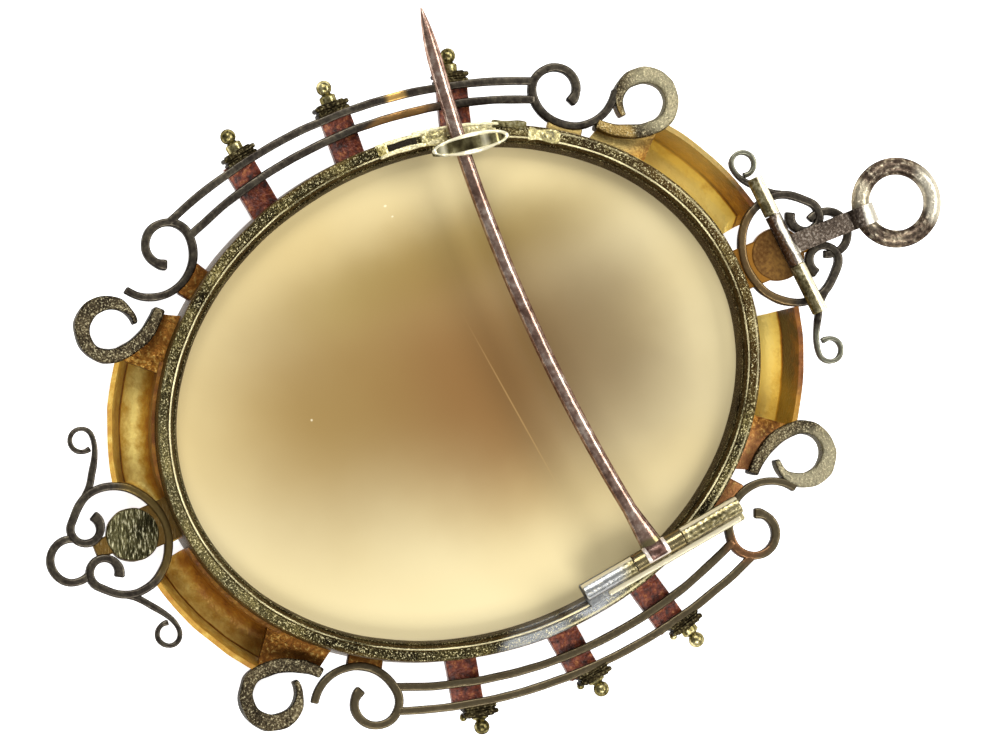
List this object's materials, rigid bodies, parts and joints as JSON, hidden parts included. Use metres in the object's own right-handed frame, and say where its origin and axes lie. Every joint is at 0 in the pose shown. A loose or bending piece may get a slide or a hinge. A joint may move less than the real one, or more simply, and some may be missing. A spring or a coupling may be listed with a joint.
{
  "type": "cameo brooch",
  "caption": "Large oval cameo brooch in open scroll-work gold mount, with hinged pin and C catch at the back and a hinged pendant bail with ring",
  "frame": {"origin": "centre of the bezel's front edge, the flat oval face that the brooch lies on when it is face down", "axes": "+Z out of the back, +Y towards the bail, +X to the right as seen from the back"},
  "size_m": [0.0568, 0.0783, 0.0096],
  "materials": {
    "cameo": "polished banded hardstone, cream yellow with brown clouds",
    "gold": "old gold, grained and tarnished between its worn edges",
    "pin_gold": "drawn rose gold, worn bright"
  },
  "bodies": {
    "root": {"cameo_stone": "cameo", "frame": "gold", "pin_rivet": "pin_gold", "bail_rivet": "pin_gold"},
    "pin": {"pin_stem": "pin_gold"},
    "bail": {"bail_arm": "gold", "bail_ring": "pin_gold"}
  },
  "joints": [
    {"name": "pin_hinge", "type": "hinge", "parent": "root", "child": "pin", "pos_m": [0.01785, 0.0098, 0.0082], "axis": [-0.1097, 0.994, 0], "range_deg": [0, 110]},
    {"name": "bail_hinge", "type": "hinge", "parent": "root", "child": "bail", "pos_m": [-0.0004, 0.02928, 0.00556], "axis": [0.9986, 0.0523, 0], "range_deg": [0, 150]}
  ]
}
